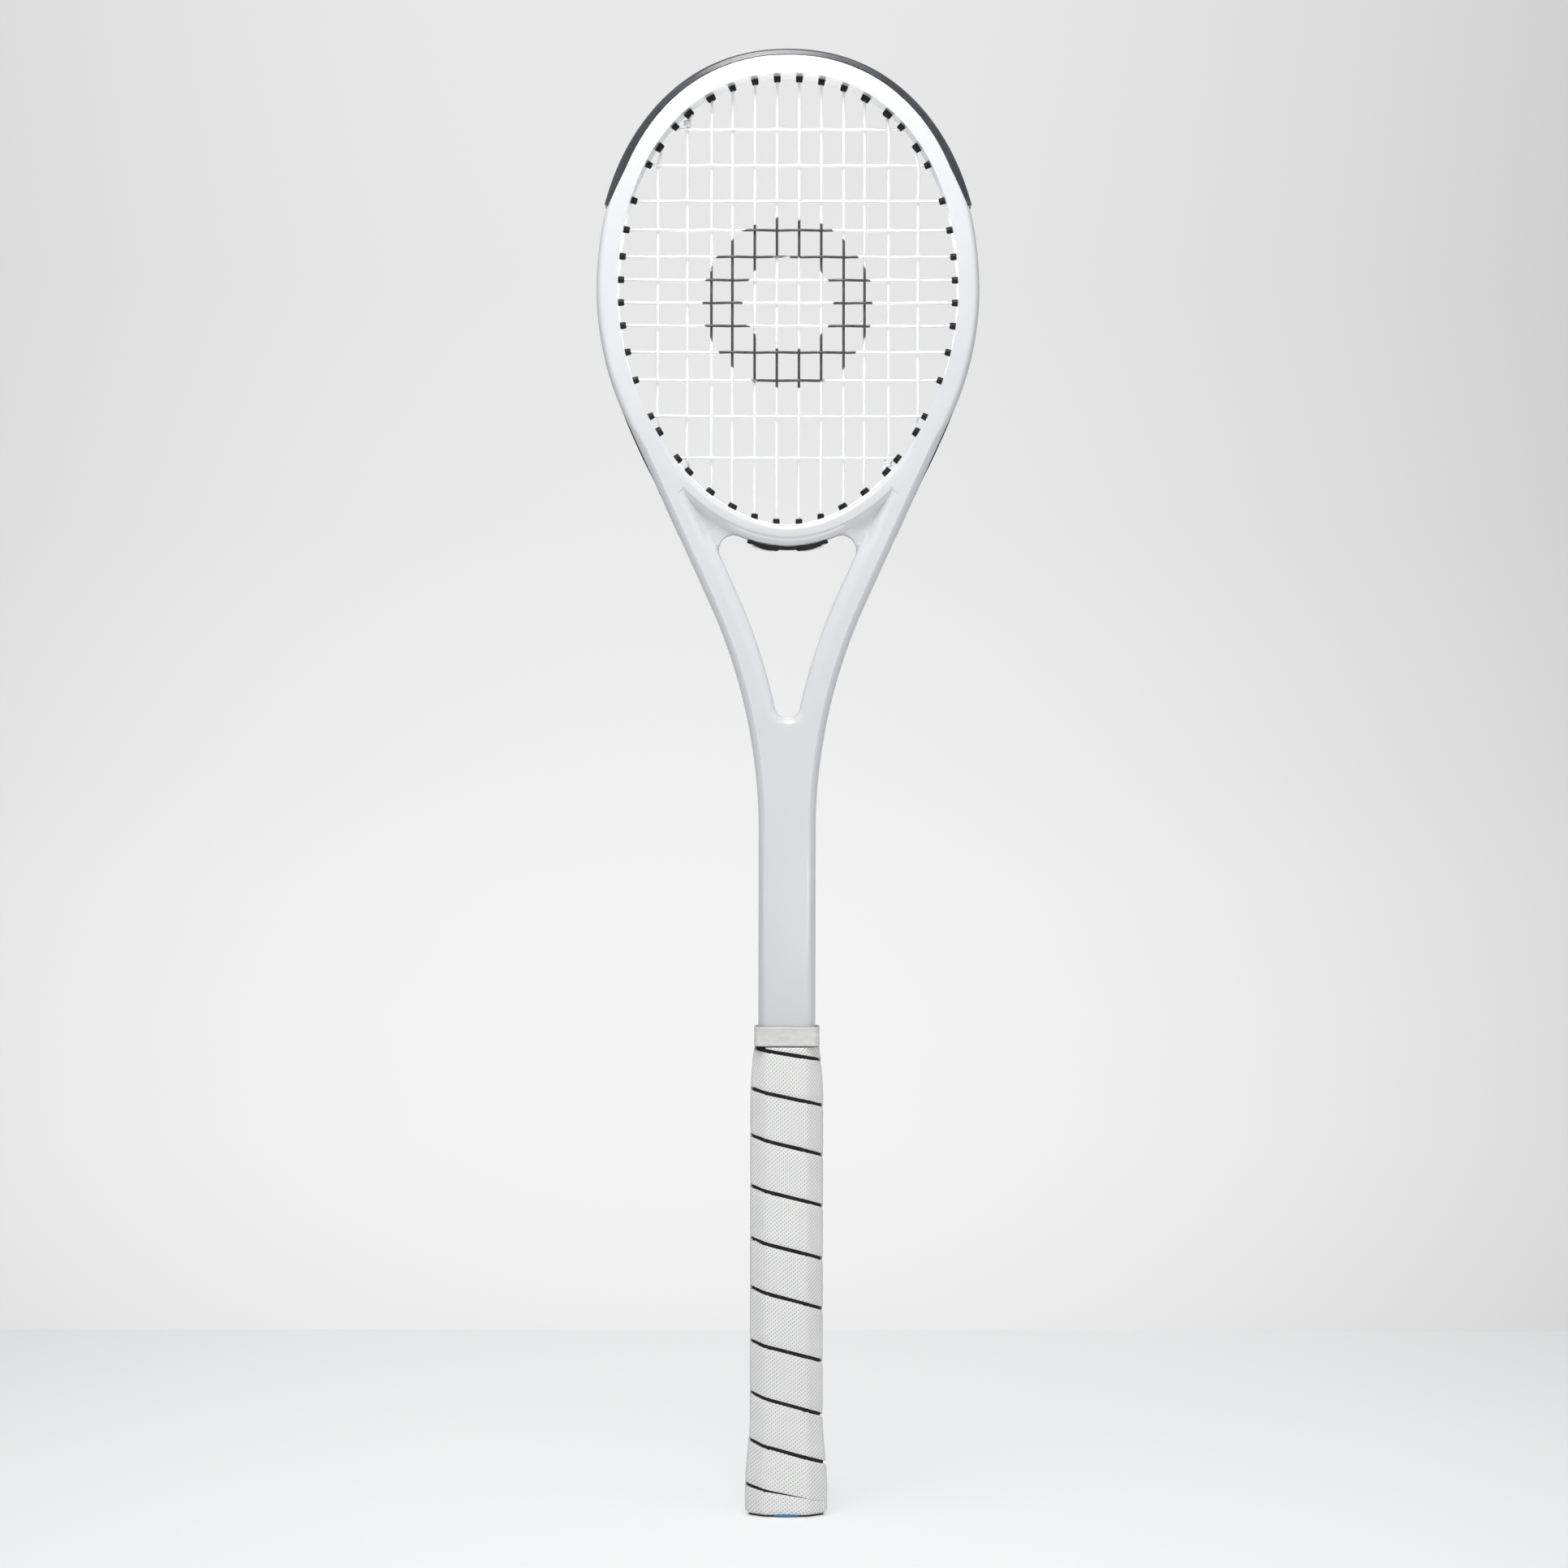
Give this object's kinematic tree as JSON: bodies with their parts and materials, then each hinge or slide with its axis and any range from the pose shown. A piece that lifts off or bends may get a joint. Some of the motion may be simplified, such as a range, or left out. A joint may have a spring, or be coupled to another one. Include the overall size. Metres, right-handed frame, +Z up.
{
  "type": "tennis training racket",
  "caption": "Tennis training racket with a reduced oval head, woven string bed, open throat, long shaft, spiral tape grip and flared butt cap.",
  "frame": {"origin": "centre of the butt end's footprint, at its flat base", "axes": "+Z up the handle to the head's crown, +X across the string bed to the right seen from the front, +Y from the front face to the back"},
  "size_m": [0.18, 0.0344, 0.6858],
  "materials": {
    "paint": "gloss white paint over moulded composite",
    "guard": "dark moulded nylon",
    "grommet": "black moulded nylon",
    "string": "smooth white synthetic string",
    "tape": "perforated white synthetic leather",
    "felt": "black backing",
    "finishing": "white adhesive tape",
    "rubber": "off-white rubber",
    "pallet": "moulded foam",
    "cap": "white moulded plastic",
    "door": "blue moulded plastic",
    "steel": "steel wire"
  },
  "bodies": {
    "racket": {"frame": "paint", "bumper_guard": "guard", "side_grommet_strip_left": "grommet", "side_grommet_strip_right": "grommet", "throat_grommet_strip": "grommet", "corner_grommet_left_1": "grommet", "corner_grommet_left_2": "grommet", "corner_grommet_right_1": "grommet", "corner_grommet_right_2": "grommet", "racket_string": "string", "handle_pallet_front": "pallet", "handle_pallet_back": "pallet", "butt_cap": "cap", "butt_cap_door": "door", "butt_cap_staple_front": "steel", "butt_cap_staple_back": "steel", "grip_backing": "felt", "grip_tape": "tape", "finishing_tape": "finishing"},
    "grip_collar": {"grip_collar": "rubber"}
  },
  "joints": [
    {"name": "collar_slide", "type": "slide", "parent": "racket", "child": "grip_collar", "axis": [0, 0, 1], "range_m": [0, 0.05]}
  ]
}
